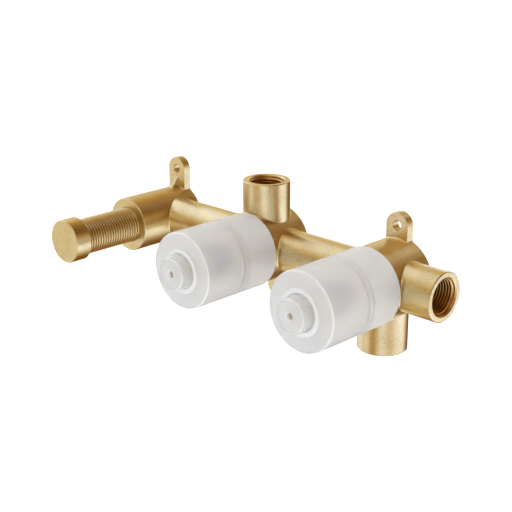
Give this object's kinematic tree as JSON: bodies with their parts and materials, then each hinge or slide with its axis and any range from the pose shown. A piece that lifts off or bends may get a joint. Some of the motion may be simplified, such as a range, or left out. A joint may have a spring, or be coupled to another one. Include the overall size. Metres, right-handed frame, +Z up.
{
  "type": "shower valve body",
  "caption": "Concealed brass shower valve body: spout outlet, diverter and mixer barrels on link tubes, with threaded ports, fixing lugs, a capped nipple and translucent plaster guards.",
  "frame": {"origin": "centre of the diverter barrel's back face, on the wall plane", "axes": "+X along the row towards the mixer, +Y into the wall, +Z up"},
  "size_m": [0.2368, 0.0968, 0.08],
  "materials": {
    "cast_brass": "satin, bead blasted",
    "turned_brass": "satin turned",
    "seal_rubber": "matt",
    "cartridge_plastic": "moulded, matt",
    "disc_ceramic": "lapped ceramic",
    "spring_steel": "bright",
    "guard_plastic": "frosted, translucent"
  },
  "bodies": {
    "body": {"valve_body": "cast_brass", "spout_nipple": "turned_brass", "diverter_base_seal": "seal_rubber", "diverter_cartridge_base": "cartridge_plastic", "diverter_fixed_disc": "disc_ceramic", "diverter_cartridge_housing": "cartridge_plastic", "diverter_body_o_ring": "seal_rubber", "diverter_retaining_nut": "turned_brass", "mixer_base_seal": "seal_rubber", "mixer_cartridge_base": "cartridge_plastic", "mixer_fixed_disc": "disc_ceramic", "mixer_cartridge_housing": "cartridge_plastic", "mixer_body_o_ring": "seal_rubber", "mixer_retaining_nut": "turned_brass"},
    "diverter_spindle": {"diverter_spindle": "turned_brass", "diverter_moving_disc": "disc_ceramic", "diverter_disc_driver": "cartridge_plastic", "diverter_stem_o_ring": "seal_rubber", "diverter_circlip": "spring_steel", "diverter_spindle_extension": "turned_brass", "diverter_extension_screw": "spring_steel"},
    "diverter_guard": {"diverter_plaster_guard": "guard_plastic"},
    "mixer_spindle": {"mixer_spindle": "turned_brass", "mixer_moving_disc": "disc_ceramic", "mixer_disc_driver": "cartridge_plastic", "mixer_stem_o_ring": "seal_rubber", "mixer_circlip": "spring_steel", "mixer_spindle_extension": "turned_brass", "mixer_extension_screw": "spring_steel"},
    "mixer_guard": {"mixer_plaster_guard": "guard_plastic"},
    "cap_washer": {"cap_washer": "seal_rubber"},
    "blanking_cap": {"blanking_cap": "turned_brass"}
  },
  "joints": [
    {"name": "diverter_turn", "type": "hinge", "parent": "body", "child": "diverter_spindle", "pos_m": [0, 0, 0], "axis": [0, -1, 0], "range_deg": [0, 90]},
    {"name": "diverter_guard_pull", "type": "slide", "parent": "body", "child": "diverter_guard", "axis": [0, -1, 0], "range_m": [0, 0.06]},
    {"name": "mixer_turn", "type": "hinge", "parent": "body", "child": "mixer_spindle", "pos_m": [0.09, 0, 0], "axis": [0, -1, 0], "range_deg": [0, 130]},
    {"name": "mixer_guard_pull", "type": "slide", "parent": "body", "child": "mixer_guard", "axis": [0, -1, 0], "range_m": [0, 0.06]},
    {"name": "cap_travel", "type": "slide", "parent": "body", "child": "cap_washer", "axis": [0, -1, 0], "range_m": [0, 0.0095]},
    {"name": "cap_turn", "type": "hinge", "parent": "cap_washer", "child": "blanking_cap", "pos_m": [-0.09, 0, 0], "axis": [0, -1, 0], "range_deg": [0, 1620]}
  ],
  "couplings": [
    {"joint": "cap_travel", "follows": "cap_turn", "m_per_rad": 0.00030239}
  ]
}
